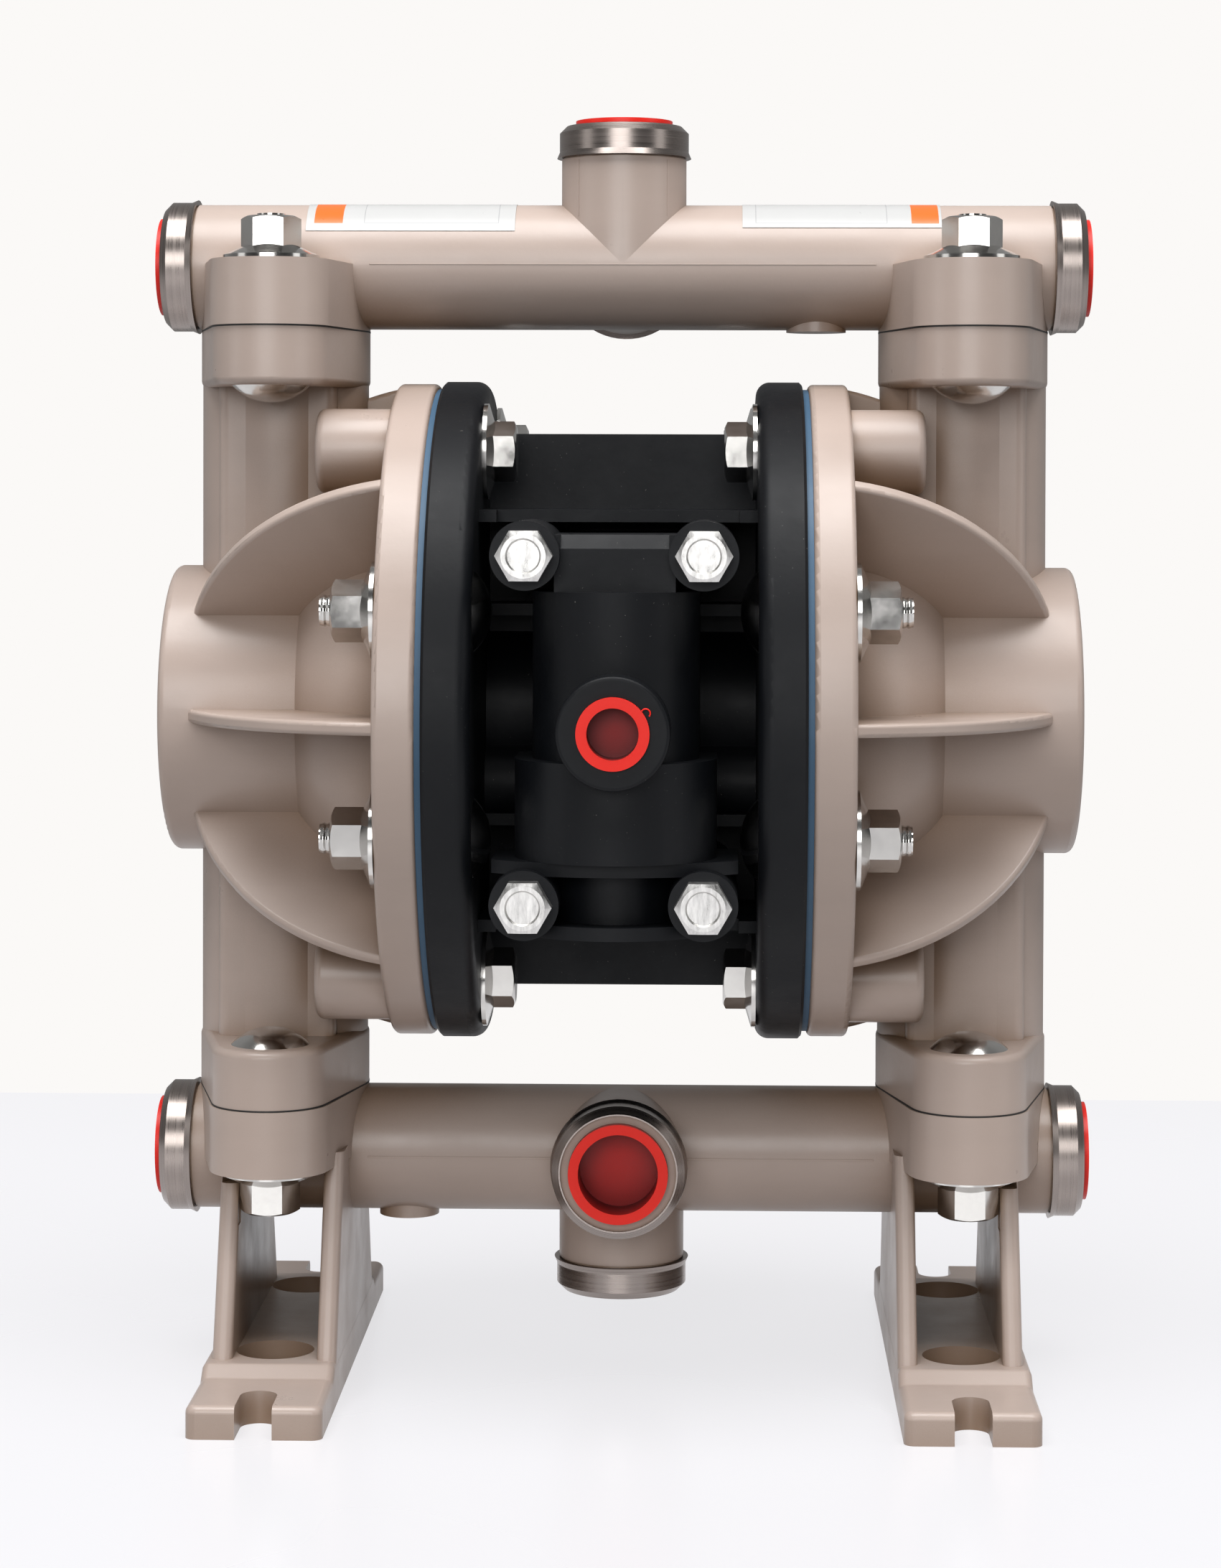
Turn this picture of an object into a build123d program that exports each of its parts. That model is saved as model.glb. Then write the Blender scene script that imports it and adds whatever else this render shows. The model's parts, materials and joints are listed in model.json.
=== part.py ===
from build123d import *
import os

# Half-inch air operated double diaphragm pump in polypropylene.
# Millimetres. Origin on the floor, midway between the four feet pads.
# +X to the right port ends, -Y to the air inlet side, +Z up.

# ---------------------------------------------------------------- driving sizes
axis_height = 143.4         # diaphragm rod axis above the floor
manifold_rise = 96.4        # rod axis to the axis of each manifold
column_offset = 74.0        # check valve columns, left and right of the middle
flange_thick = 14.0         # manifold axis to its joint faces
fit_gap = 0.05              # running clearance, on the radius
seat_gap = 0.3              # clearance of parts that only pass close by

# fluid caps
cap_face_x = 40.1           # inner face of the cap flange
cap_flange_thick = 8.6
cap_edge_round = 1.2
dome_base_radius = 46.0
dome_bulge_x = 1.5          # how far the dome's middle stands out from its chord
dome_bulge_radius = 2.2
hub_radius = 31.1
hub_start_x = 68.5
hub_end_x = 97.8
hub_edge_round = 1.6
cap_wall = 6.0
chamber_radius = 54.0
column_radius = 18.1
pilaster_half_width = 12.7
pilaster_front = 16.8
pilaster_round = 2.4
gusset_thick = 2.8
gusset_round = 0.9
gusset_count = 8
gusset_tip_x = 91.0
gusset_mid_x = 74.8
gusset_drop = 13.3          # from a gusset's outer end down to the middle of its edge
ear_thick = 12.6
ear_nose_radius = 12.3
ear_waist_radius = 18.4
ear_edge_round = 1.6

# rim bolts, two kinds that alternate in pairs round the flange
rim_bolt_radius = 3.0       # quarter inch and M6 shanks
bolt_hole_gap = 0.3
blind_boss_radius = 9.0
blind_boss_length = 15.7
blind_boss_round = 1.8
dome_head_radius = 8.3
dome_head_height = 3.6
nut_flange_radius = 10.2
nut_flange_height = 3.0
nut_flange_lip = 0.9
hex_corner_break = 1.3
nut_across_flats = 11.1
nut_hex_height = 6.2
thread_reach = 2.4          # bare thread past a rim nut
joint_thread_reach = 0.5    # and past a manifold joint nut
hex_head_height = 6.0
head_flange_height = 2.3
blind_engagement = 10.0

# manifolds
tube_radius = 13.6
tube_bore_radius = 9.3
port_end_x = 99.2           # moulded end of the side ports
port_reach = 29.8           # manifold axis to the end of the centre ports
port_nose_radius = 13.2
port_nose_length = 6.4
port_bore_radius = 10.6     # half-inch pipe thread, over the crests
port_bore_depth = 14.0
flange_waist_radius = 18.4
flange_nose_radius = 12.8
manifold_bolt_offset = 27.3
witness_pad_radius = 6.5
outlet_pad_height = 0.5
inlet_pad_height = 1.1
outlet_pad_x = 42.0
inlet_pad_x = -46.6

# steel port bands
band_gap = 0.05
band_thick = 0.85
band_flare = 0.55
band_flare_length = 1.3
band_corner = 1.5
band_lip_radius = 12.3
band_width = 6.9

# shipping plugs
plug_proud = 2.05
air_plug_proud = 1.2
plug_depth = 9.0
plug_wall = 2.15
plug_floor = 1.5

# feet, part of the inlet manifold
foot_centre_x = 72.4
foot_width = 27.8
foot_half_length = 68.0
pad_height = 6.7
pad_length = 22.0
deck_height = 9.2
web_thick = 4.2
outer_web_x = 82.6
inner_web_x = 60.7
web_base_half = 40.4
web_top_half = 24.5
foot_edge_round = 1.6
foot_corner_round = 2.2
pad_rise_length = 3.5
pad_rise_round = 1.4
hex_room_radius = 6.8
web_overlap = 3.0
foot_hole_radius = 8.2
foot_hole_offset = 30.6
notch_width = 7.6
notch_depth = 13.0

# diaphragms and their plates
diaphragm_thick = 1.3
plate_lift = 4.3            # clamped middle lies this far outside the rim
plate_radius = 24.0
air_plate_thick = 3.5
fluid_plate_thick = 4.0
air_plate_flat = 22.8       # radius of the free faces of the two plates
fluid_plate_flat = 13.0
rod_radius = 7.0
screw_radius = 4.0
screw_depth = 16.0
screw_head_height = 5.0
screw_head_flats = 13.0
rod_stroke = 7.0            # each way from the middle

# centre body
body_disc_thick = 9.9
body_disc_radius = 71.4
cap_inset = 0.5             # the caps' flanges stand this far inside the discs
bolt_circle_inset = 10.8    # the discs' edge to the rim bolts' axes
diaphragm_inset = 1.6       # and to the edge of the clamped diaphragms and the gussets
body_disc_round = 3.0
body_disc_break = 0.6
body_web_half = 60.0
body_web_thick = 9.0
barrel_radius = 17.6
air_chamber_radius = 54.0
air_chamber_floor_x = 31.2
shelf_height = 42.5
shelf_thick = 2.5
shelf_half_depth = 43.0
low_shelf_height = 22.4
low_shelf_half_depth = 22.0
bushing_radius = 9.6
bushing_length = 12.0
bushing_face_x = 30.0
pilot_radius = 3.0
pilot_y = -14.5
pilot_z = -15.0
pilot_barrel_radius = 8.0
pilot_half_length = 34.9
pilot_bushing_radius = 5.0
pilot_bushing_length = 8.0
exhaust_y = 60.0
exhaust_boss_radius = 16.5
exhaust_bore_radius = 9.6   # three-eighths and half-inch silencer thread
exhaust_bore_depth = 15.0

# air valve
valve_face_y = -40.0        # joint face of the valve block
valve_bolt_x = 17.9
valve_bolt_z = 34.9
valve_boss_radius = 7.0
valve_boss_front_y = -72.0
valve_core_y = -54.5
valve_upper_radius = 17.0
valve_lower_radius = 20.6
valve_step_z = -6.5
valve_top_z = 39.0
valve_shoulder_z = 27.5
valve_collar_radius = 12.2
valve_bottom_z = -26.6
valve_end_z = -42.0
collar_slope_height = 4.0
collar_slope_length = 4.1
valve_skirt_front_y = -72.0 # middle and ends of the bowed front of each skirt
valve_skirt_end_y = -63.0
valve_rib_thick = 2.7
gasket_thick = 1.0
valve_bolt_flats = 10.0
valve_bolt_head = 4.6
valve_bolt_dish = 3.9       # radius and depth of the dish in each head
valve_dish_depth = 0.7
valve_thread_length = 12.0
spool_waist_radius = 4.6
spool_land_radius = 7.6
spool_land_width = 4.0
sleeve_wall = 2.0
spool_half_length = 26.0
spool_stroke = 5.0
sleeve_end_gap = 3.5
air_port_radius = 2.0
air_port_x = 5.0
air_port_z = 9.2            # ports to the two air chambers, above and below the exhaust port
air_way_y = -9.2
exhaust_way_z = 12.5
exhaust_way_y = -25.0
exhaust_way_end_y = 30.0
inlet_boss_radius = 11.4
inlet_boss_front_y = -80.0
inlet_bore_radius = 7.35    # quarter-inch pipe thread
inlet_bore_depth = 10.0
inlet_plug_wall = 2.2
inlet_plug_depth = 8.0
inlet_way_radius = 4.8

# check valves
ball_radius = 10.0
cage_radius = 12.5
seat_height = 5.0
seat_bore_radius = 8.0
cage_depth = 18.9           # joint face to the shoulder of each ball cage
passage_radius = 9.5
slot_width = 5.0
ball_lift = 4.5
oring_section = 1.5
joint_ring_radius = 15.4

# ---------------------------------------------------------------- derived sizes
joint_rise = manifold_rise - flange_thick
cap_flange_radius = body_disc_radius - cap_inset
rim_bolt_circle = body_disc_radius - bolt_circle_inset
diaphragm_radius = body_disc_radius - diaphragm_inset
gusset_rim_radius = diaphragm_radius
gusset_mid_radius = gusset_rim_radius - gusset_drop
outlet_seat_z = joint_rise - cage_depth
inlet_stop_z = joint_rise - cage_depth
rim_face_x = cap_face_x - diaphragm_thick
cap_back_x = cap_face_x + cap_flange_thick
body_disc_inner_x = rim_face_x - body_disc_thick
plate_face_x = rim_face_x + plate_lift
air_plate_x = plate_face_x - air_plate_thick
fluid_plate_x = plate_face_x + diaphragm_thick
screw_head_x = fluid_plate_x + fluid_plate_thick
outlet_axis_z = axis_height + manifold_rise
inlet_axis_z = axis_height - manifold_rise
outlet_joint_z = axis_height + joint_rise
inlet_joint_z = axis_height - joint_rise
bolt_grip = ear_thick + flange_thick
ball_seat_height = (ball_radius ** 2 - seat_bore_radius ** 2) ** 0.5
sleeve_radius = spool_land_radius + fit_gap + sleeve_wall
sleeve_half_length = spool_half_length + spool_stroke + sleeve_end_gap
carriage_angles = [22.5, 157.5, 202.5, 337.5]
blind_angles = [67.5, 112.5, 247.5, 292.5]
bolt_hole_radius = rim_bolt_radius + bolt_hole_gap
hex_corner = 1.0 / 0.8660254   # corner radius over half the flats
valve_boss_reach = valve_bolt_x + valve_boss_radius + seat_gap


# ---------------------------------------------------------------- small helpers
def along_x(radius, start, end, y=0.0, z=0.0):
    return Pos((start + end) / 2, y, z) * Rot(0, 90, 0) * Cylinder(radius, end - start)


def along_y(radius, start, end, x=0.0, z=0.0):
    return Pos(x, (start + end) / 2, z) * Rot(90, 0, 0) * Cylinder(radius, end - start)


def along_z(radius, start, end, x=0.0, y=0.0):
    return Pos(x, y, (start + end) / 2) * Cylinder(radius, end - start)


def block(x0, x1, y0, y1, z0, z1):
    return Pos((x0 + x1) / 2, (y0 + y1) / 2, (z0 + z1) / 2) * Box(x1 - x0, y1 - y0, z1 - z0)


def spun_about_x(points):
    """Solid of revolution about the rod axis from (x, radius) points."""
    outline = Polyline(*[(x, 0, r) for x, r in points], close=True)
    return revolve(make_face(outline), Axis.X)


def hexagon(flats, start, end, corner_break=0.0):
    """Hexagonal prism along +Z, the corners of its far end turned off by corner_break."""
    prism = Pos(0, 0, start) * extrude(RegularPolygon(flats / 2 * hex_corner, 6), end - start)
    if not corner_break:
        return prism
    round_bar = along_z(flats / 2 * hex_corner, start, end)
    return prism & chamfer(round_bar.edges().group_by(Axis.Z)[-1], corner_break / 2, corner_break)


def polar(radius, degrees):
    point = Vector(0, radius, 0).rotate(Axis.X, degrees)
    return point.Y, point.Z


def raised(part):
    return Pos(0, 0, axis_height) * part


def mirrored(part):
    return mirror(part, about=Plane.YZ)


def group(parts):
    return Compound(children=[piece for part in parts for piece in part.solids()])


nodes = {}


# ---------------------------------------------------------------- fluid caps
def cap_body():
    dome_mid_x = (cap_back_x + hub_start_x) / 2 + dome_bulge_x
    dome_mid_radius = (dome_base_radius + hub_radius) / 2 + dome_bulge_radius
    outline = [
        Polyline((cap_face_x, 0, 0), (cap_face_x, 0, cap_flange_radius),
                 (cap_back_x, 0, cap_flange_radius), (cap_back_x, 0, dome_base_radius)),
        ThreePointArc((cap_back_x, 0, dome_base_radius), (dome_mid_x, 0, dome_mid_radius),
                      (hub_start_x, 0, hub_radius)),
        Polyline((hub_start_x, 0, hub_radius), (hub_end_x, 0, hub_radius), (hub_end_x, 0, 0),
                 (cap_face_x, 0, 0)),
    ]
    shell = revolve(make_face(outline), Axis.X)
    shell = fillet(shell.edges().filter_by(GeomType.CIRCLE).group_by(Axis.X)[-1], hub_edge_round)
    rim_edges = [edge for edge in shell.edges().filter_by(GeomType.CIRCLE)
                 if abs(edge.radius - cap_flange_radius) < fit_gap]
    return fillet(rim_edges, cap_edge_round)


def cap_chamber():
    wall_x = hub_start_x - cap_wall
    return spun_about_x([
        (cap_face_x - 1, 0), (cap_face_x - 1, chamber_radius), (cap_face_x + 3.4, chamber_radius - 1),
        (cap_back_x - 1.4, dome_base_radius - cap_wall), (wall_x, hub_radius - cap_wall),
        (hub_end_x - cap_wall, hub_radius - cap_wall), (hub_end_x - cap_wall, 0)])


def gusset():
    edge = [
        Polyline((cap_back_x - 1, 0, hub_radius - 2), (cap_back_x - 1, 0, gusset_rim_radius),
                 (cap_back_x, 0, gusset_rim_radius)),
        ThreePointArc((cap_back_x, 0, gusset_rim_radius), (gusset_mid_x, 0, gusset_mid_radius),
                      (gusset_tip_x, 0, hub_radius)),
        Polyline((gusset_tip_x, 0, hub_radius), (gusset_tip_x, 0, hub_radius - 2),
                 (cap_back_x - 1, 0, hub_radius - 2)),
    ]
    plate = Pos(0, gusset_thick / 2, 0) * extrude(make_face(edge), gusset_thick, dir=(0, -1, 0))
    return fillet(plate.edges().filter_by(GeomType.CIRCLE), gusset_round)


def ear_plate(nose_radius, waist_radius, bottom, top):
    noses = [Pos(column_offset, side * manifold_bolt_offset) * Circle(nose_radius) for side in (-1, 1)]
    waist = Pos(column_offset, 0) * Circle(waist_radius)
    outline = make_hull((noses[0] + noses[1] + waist).edges())
    return Pos(0, 0, bottom) * extrude(outline, top - bottom)


def flow_slots(bottom, top):
    slots = [Rot(0, 0, turn) * Box(2 * cage_radius, slot_width, top - bottom) for turn in (45, 135)]
    return Pos(column_offset, 0, (bottom + top) / 2) * ((slots[0] + slots[1])
                                                         & Cylinder(cage_radius, top - bottom))


def pilaster():
    """Flat-faced casing of the column, front and rear, between the ears."""
    reach = joint_rise - ear_thick / 2
    box = block(column_offset - pilaster_half_width, column_offset + pilaster_half_width,
                -pilaster_front, pilaster_front, -reach, reach)
    return fillet(box.edges().filter_by(Axis.Z), pilaster_round)


def right_fluid_cap():
    cap = cap_body()
    for step in range(gusset_count):
        cap += Rot(360 / gusset_count * step, 0, 0) * gusset()
    for angle in blind_angles:
        y, z = polar(rim_bolt_circle, angle)
        boss = along_x(blind_boss_radius, cap_back_x - 1, cap_back_x + blind_boss_length, y, z)
        cap += fillet(boss.edges().group_by(Axis.X)[-1], blind_boss_round)
    cap += along_z(column_radius, -joint_rise, joint_rise, column_offset) + pilaster()
    for side in (-1, 1):
        ear = ear_plate(ear_nose_radius, ear_waist_radius, joint_rise - ear_thick, joint_rise)
        ear = fillet(ear.edges().group_by(Axis.Z)[0], ear_edge_round)
        cap += ear if side > 0 else mirror(ear, about=Plane.XY)
    cap -= cap_chamber()
    cap -= along_z(passage_radius, -joint_rise - 1, joint_rise + 1, column_offset)
    cap -= along_z(cage_radius, outlet_seat_z, joint_rise + 1, column_offset)
    cap -= along_z(cage_radius, -joint_rise - 1, -inlet_stop_z, column_offset)
    cap -= flow_slots(-inlet_stop_z - 1, -inlet_stop_z + 2 * slot_width)
    for side in (-1, 1):
        for rise in (-1, 1):
            low, high = sorted((rise * (joint_rise - ear_thick - 4), rise * (joint_rise + 1)))
            cap -= along_z(bolt_hole_radius, low, high, column_offset, side * manifold_bolt_offset)
            head_low, head_high = sorted((rise * (joint_rise - ear_thick - dome_head_height - 1),
                                          rise * (joint_rise - ear_thick)))
            cap -= along_z(dome_head_radius + seat_gap, head_low, head_high, column_offset,
                           side * manifold_bolt_offset)
    for angle in carriage_angles:
        y, z = polar(rim_bolt_circle, angle)
        cap -= along_x(bolt_hole_radius, cap_face_x - 1, cap_back_x + 1, y, z)
        cap -= along_x(nut_flange_radius + seat_gap, cap_back_x, cap_back_x + nut_flange_height + 1, y, z)
    for angle in blind_angles:
        y, z = polar(rim_bolt_circle, angle)
        cap -= along_x(rim_bolt_radius + fit_gap, cap_face_x - 1,
                       cap_face_x + blind_engagement + 1, y, z)
    return cap


# ---------------------------------------------------------------- manifolds
def joint_flange():
    """Two-bolt flange with its ball passage, measured from the manifold axis down."""
    return ear_plate(flange_nose_radius, flange_waist_radius, -flange_thick, 0)


def port_nose(length):
    """Stepped end of a port along +Z, ending at the given length."""
    body = along_z(tube_radius, 0, length - port_nose_length)
    return body + along_z(port_nose_radius, 0, length)


def port_bore(length):
    return along_z(port_bore_radius, length - port_bore_depth, length + 1) \
        + along_z(tube_bore_radius, 0, length)


def manifold(pad_x, pad_end):
    """Manifold with its joint faces below: two side ports, one port up and one to the rear."""
    pad_low, pad_high = sorted((0, pad_end))
    turns = [Rot(0, 90, 0), Rot(0, -90, 0), Rot(0, 0, 0), Rot(-90, 0, 0)]
    lengths = [port_end_x, port_end_x, port_reach, port_reach]
    body = joint_flange() + mirrored(joint_flange())
    for turn, length in zip(turns, lengths):
        body += turn * port_nose(length)
    body += along_z(witness_pad_radius, pad_low, pad_high, pad_x)
    for turn, length in zip(turns, lengths):
        body -= turn * port_bore(length)
    return body


def joint_cuts(body):
    """Ball passages, ring grooves and bolt holes of the two joint faces."""
    for side in (-1, 1):
        x = side * column_offset
        body -= along_z(passage_radius, -flange_thick - 1, 0, x)
        slots = flow_slots(-flange_thick - 1, -flange_thick + slot_width)
        body -= slots if side > 0 else mirrored(slots)
        body -= Pos(x, 0, -flange_thick) * Torus(joint_ring_radius, oring_section / 2 + fit_gap)
        for bolt_side in (-1, 1):
            body -= along_z(bolt_hole_radius, -flange_thick - 1, 1, x, bolt_side * manifold_bolt_offset)
            body -= along_z(nut_flange_radius + seat_gap, 0, tube_radius, x,
                            bolt_side * manifold_bolt_offset)
    return body


def outlet_manifold():
    return Pos(0, 0, outlet_axis_z) * joint_cuts(manifold(outlet_pad_x, -tube_radius - outlet_pad_height))


def foot():
    """One foot, right side, from the floor up to the manifold tube."""
    x0 = foot_centre_x - foot_width / 2
    x1 = foot_centre_x + foot_width / 2
    pad_start = foot_half_length - pad_length
    profile = Polyline((0, -foot_half_length, 0), (0, -foot_half_length, pad_height),
                       (0, -pad_start, pad_height), (0, -pad_start + pad_rise_length, deck_height),
                       (0, pad_start - pad_rise_length, deck_height), (0, pad_start, pad_height),
                       (0, foot_half_length, pad_height), (0, foot_half_length, 0), close=True)
    base = Pos(x0, 0, 0) * extrude(make_face(profile), x1 - x0, dir=(1, 0, 0))
    rises = [edge for edge in base.edges().filter_by(Axis.X)
             if abs(edge.center().Y) < pad_start + 1 and edge.center().Z > pad_height - 1]
    base = fillet(rises, pad_rise_round)
    base = fillet(base.edges().filter_by(Axis.Z), foot_corner_round)
    ends = base.edges().filter_by(Axis.X)
    base = fillet(ends.group_by(Axis.Y)[0].group_by(Axis.Z)[-1]
                  + ends.group_by(Axis.Y)[-1].group_by(Axis.Z)[-1], foot_edge_round)
    for end in (-1, 1):
        tip = end * (foot_half_length - notch_depth + notch_width / 2)
        low, high = sorted((tip, end * (foot_half_length + 1)))
        base -= along_z(notch_width / 2, -1, deck_height + 1, foot_centre_x, tip)
        base -= block(foot_centre_x - notch_width / 2, foot_centre_x + notch_width / 2, low, high,
                      -1, deck_height + 1)
        base -= along_z(foot_hole_radius, -1, deck_height + 1, foot_centre_x, end * foot_hole_offset)
    web_top_z = inlet_axis_z + web_overlap
    web_outline = Polyline((0, -web_base_half, deck_height - 1), (0, -web_top_half, web_top_z),
                           (0, web_top_half, web_top_z), (0, web_base_half, deck_height - 1),
                           close=True)
    for web_x in (inner_web_x, outer_web_x):
        web = Pos(web_x - web_thick / 2, 0, 0) * extrude(make_face(web_outline), web_thick, dir=(1, 0, 0))
        slopes = [e for e in web.edges() if deck_height < e.center().Z < web_top_z
                  and abs(e.center().Y) > web_top_half]
        web = fillet(slopes, web_thick * 0.42)
        base += web
    return base


def nut_room():
    """Space that the lower joint nuts need beside the foot webs."""
    flange_low = inlet_axis_z - nut_flange_height - seat_gap
    hex_low = flange_low - nut_hex_height - thread_reach
    rooms = [along_z(nut_flange_radius + seat_gap, flange_low, inlet_axis_z, column_offset, y)
             + along_z(hex_room_radius, hex_low, inlet_axis_z, column_offset, y)
             for y in (-manifold_bolt_offset, manifold_bolt_offset)]
    return rooms[0] + rooms[1]


def inlet_manifold():
    body = Pos(0, 0, inlet_axis_z) * Rot(180, 0, 0) * joint_cuts(
        manifold(inlet_pad_x, tube_radius + inlet_pad_height))
    bore = along_x(tube_radius - 1, -port_end_x + port_nose_length, port_end_x - port_nose_length,
                   0, inlet_axis_z)
    feet = foot() - nut_room() - bore
    for half in (feet, mirrored(feet)):
        body += half
    return body


# ---------------------------------------------------------------- centre body
def air_chamber():
    return spun_about_x([(rim_face_x + 1, 0), (rim_face_x + 1, air_chamber_radius),
                         (rim_face_x - 1.5, air_chamber_radius), (air_chamber_floor_x, air_chamber_radius - 9),
                         (air_chamber_floor_x, 0)])


def shelf(height, half_depth, bulge):
    """Horizontal stiffening shelf between the discs, its front and back edges bowed."""
    x = body_disc_inner_x + 1
    outline = [
        ThreePointArc((-x, -half_depth), (0, -half_depth - bulge), (x, -half_depth)),
        Line((x, -half_depth), (x, half_depth)),
        ThreePointArc((x, half_depth), (0, half_depth + bulge), (-x, half_depth)),
        Line((-x, half_depth), (-x, -half_depth)),
    ]
    return Pos(0, 0, height - shelf_thick / 2) * extrude(make_face(outline), shelf_thick)


def center_body():
    disc = along_x(body_disc_radius, body_disc_inner_x, rim_face_x)
    disc = fillet(disc.edges().filter_by(GeomType.CIRCLE).group_by(Axis.X)[0], body_disc_round)
    disc = chamfer(disc.edges().filter_by(GeomType.CIRCLE).group_by(Axis.X)[-1], body_disc_break)
    width = body_disc_inner_x + 1
    body = disc + mirrored(disc)
    body += block(-width, width, -body_web_thick / 2, body_web_thick / 2, -body_web_half, body_web_half)
    body += along_x(barrel_radius, -width, width)
    body += along_x(pilot_barrel_radius, -width, width, pilot_y, pilot_z)
    for side in (-1, 1):
        body += shelf(side * shelf_height, shelf_half_depth, 1.5)
        body += shelf(side * low_shelf_height, low_shelf_half_depth, 0.6)
    back = valve_face_y + gasket_thick
    body -= block(-valve_boss_reach, valve_boss_reach, -body_disc_radius, back,
                  -body_disc_radius, body_disc_radius)
    body += block(-valve_upper_radius, valve_upper_radius, back, 0, valve_end_z, valve_top_z)
    for side in (-1, 1):
        for rise in (-1, 1):
            body += along_y(valve_boss_radius, back, 0, side * valve_bolt_x, rise * valve_bolt_z)
    body += along_y(exhaust_boss_radius, 0, exhaust_y)
    body -= air_chamber() + mirrored(air_chamber())
    for angle in carriage_angles + blind_angles:
        y, z = polar(rim_bolt_circle, angle)
        for side in (-1, 1):
            low, high = sorted((side * (body_disc_inner_x - 1), side * (rim_face_x + 1)))
            body -= along_x(bolt_hole_radius, low, high, y, z)
            clear_low, clear_high = sorted((side * (body_disc_inner_x - hex_head_height - 3),
                                            side * body_disc_inner_x))
            body -= along_x(nut_flange_radius + seat_gap, clear_low, clear_high, y, z)
    body -= along_x(rod_radius + 2 * seat_gap, -rim_face_x, rim_face_x)
    for side in (-1, 1):
        low, high = sorted((side * (bushing_face_x - bushing_length), side * (air_chamber_floor_x + 1)))
        body -= along_x(bushing_radius, low, high)
        low, high = sorted((side * (bushing_face_x - pilot_bushing_length), side * (air_chamber_floor_x + 1)))
        body -= along_x(pilot_bushing_radius, low, high, pilot_y, pilot_z)
    body -= along_x(pilot_radius + seat_gap, -rim_face_x, rim_face_x, pilot_y, pilot_z)
    body -= along_y(exhaust_bore_radius, exhaust_y - exhaust_bore_depth, exhaust_y + 1)
    body -= along_y(exhaust_bore_radius - 3, barrel_radius + 3, exhaust_y)
    body -= air_ports(back - 1, exhaust_way_y)
    for side in (-1, 1):
        x, z = side * air_port_x, side * air_port_z
        body -= along_y(air_port_radius, exhaust_way_y - 1, air_way_y, x, z)
        low, high = sorted((x, side * (air_chamber_floor_x + 1)))
        body -= along_x(air_port_radius, low, high, air_way_y, z)
    body -= along_z(air_port_radius, 0, exhaust_way_z, 0, exhaust_way_y)
    body -= along_y(air_port_radius, exhaust_way_y, exhaust_way_end_y, 0, exhaust_way_z)
    body -= along_z(air_port_radius, 0, exhaust_way_z, 0, exhaust_way_end_y)
    for side in (-1, 1):
        for rise in (-1, 1):
            body -= along_y(rim_bolt_radius + fit_gap, back - 1, back + valve_thread_length + 1,
                            side * valve_bolt_x, rise * valve_bolt_z)
    return body


# ---------------------------------------------------------------- air valve
def half_round(radius, low, high):
    """Housing section with a round front and straight sides back to the joint face."""
    front = along_z(radius, low, high, 0, valve_core_y) \
        & block(-radius, radius, valve_core_y - radius, valve_core_y, low, high)
    return front + block(-radius, radius, valve_core_y, valve_face_y, low, high)


def skirt(half_width, low):
    """Thin level rib between the lower bosses, its front edge bowed."""
    outline = [
        ThreePointArc((-half_width, valve_skirt_end_y), (0, valve_skirt_front_y),
                      (half_width, valve_skirt_end_y)),
        Polyline((half_width, valve_skirt_end_y), (half_width, valve_face_y), (-half_width, valve_face_y),
                 (-half_width, valve_skirt_end_y)),
    ]
    return Pos(0, 0, low) * extrude(make_face(outline), valve_rib_thick)


def collar_slope():
    """Wedge that bevels the top of the upper collar down to its front."""
    front = valve_core_y - valve_collar_radius - 1
    wedge = Polyline((0, front, valve_top_z + 1), (0, front, valve_top_z - collar_slope_height),
                     (0, front + collar_slope_length, valve_top_z + 1), close=True)
    reach = valve_bolt_x - valve_boss_radius
    return Pos(-reach, 0, 0) * extrude(make_face(wedge), 2 * reach, dir=(1, 0, 0))


def air_ports(front, back):
    """Holes from the valve bore to each air chamber and to the exhaust."""
    return along_y(air_port_radius, front, back, air_port_x, air_port_z) \
        + along_y(air_port_radius, front, back, -air_port_x, -air_port_z) \
        + along_y(air_port_radius, front, back)


def valve_block():
    body = half_round(valve_upper_radius, valve_step_z, valve_shoulder_z)
    body += half_round(valve_lower_radius, valve_bottom_z, valve_step_z)
    body += block(-valve_collar_radius, valve_collar_radius, valve_core_y - valve_collar_radius,
                  valve_face_y, valve_shoulder_z, valve_top_z) - collar_slope()
    body += half_round(valve_collar_radius, valve_end_z, valve_bottom_z)
    body += skirt(valve_bolt_x + valve_boss_radius, valve_bottom_z - valve_rib_thick)
    body += skirt(valve_bolt_x, valve_end_z)
    for side in (-1, 1):
        for rise in (-1, 1):
            body += along_y(valve_boss_radius, valve_boss_front_y, valve_face_y, side * valve_bolt_x,
                            rise * valve_bolt_z)
    body += along_y(inlet_boss_radius, inlet_boss_front_y, valve_core_y)
    body = fillet(body.edges().filter_by(GeomType.CIRCLE).group_by(Axis.Y)[0], 0.8)
    body -= along_z(sleeve_radius, -sleeve_half_length, valve_top_z + 1, 0, valve_core_y)
    body -= along_y(inlet_bore_radius, inlet_boss_front_y - 1, inlet_boss_front_y + inlet_bore_depth)
    body -= along_y(inlet_way_radius, inlet_boss_front_y, valve_core_y - sleeve_radius + 1)
    body -= air_ports(valve_core_y, valve_face_y + 1)
    for side in (-1, 1):
        for rise in (-1, 1):
            body -= along_y(rim_bolt_radius + fit_gap, valve_boss_front_y - 1, valve_face_y + 1,
                            side * valve_bolt_x, rise * valve_bolt_z)
    return body


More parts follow.
